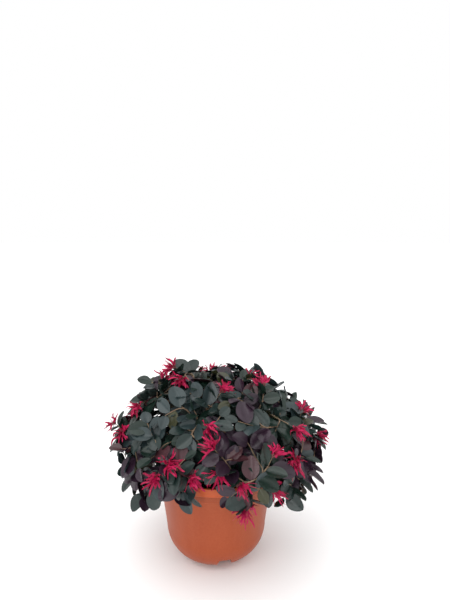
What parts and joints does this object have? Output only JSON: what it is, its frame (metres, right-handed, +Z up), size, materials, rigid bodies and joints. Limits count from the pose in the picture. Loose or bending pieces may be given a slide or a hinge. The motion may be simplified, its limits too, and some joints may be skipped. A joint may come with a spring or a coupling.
{
  "type": "potted chinese fringe flower",
  "caption": "Low, dense flowering shrub with dark rounded leaves and fringe-petalled blossom, in a round nursery pot with a rolled lip and a rounded foot.",
  "frame": {"origin": "centre of the pot's flat underside, on the surface it stands on", "axes": "+Z up along the pot's axis, -Y towards the plant's front, +X to its right as seen from the front"},
  "size_m": [0.3403, 0.2881, 0.297],
  "materials": {
    "pot": "satin moulded plastic",
    "soil": "crumbly bark and peat mix",
    "bark": "ridged brown bark",
    "foliage": "satin leaves and soft petals"
  },
  "bodies": {
    "root": {"pot": "pot", "soil": "soil", "main_stem": "bark", "bough_left": "bark", "bough_front_left": "bark", "bough_front": "bark", "bough_right_front": "bark", "bough_right_back": "bark", "bough_back": "bark", "bough_back_left": "bark", "bough_upper_left": "bark", "bough_upper_front_left": "bark", "bough_upper_front_right": "bark", "bough_upper_right": "bark", "bough_upper_back": "bark", "bough_top_left": "bark", "bough_top_right": "bark", "mass_left": "foliage", "mass_front_left": "foliage", "mass_front": "foliage", "mass_right_front": "foliage", "mass_right_back": "foliage", "mass_back": "foliage", "mass_back_left": "foliage", "mass_upper_left": "foliage", "mass_upper_front_left": "foliage", "mass_upper_front_right": "foliage", "mass_upper_right": "foliage", "mass_upper_back": "foliage", "mass_top_left": "foliage", "mass_top_right": "foliage"}
  },
  "joints": []
}
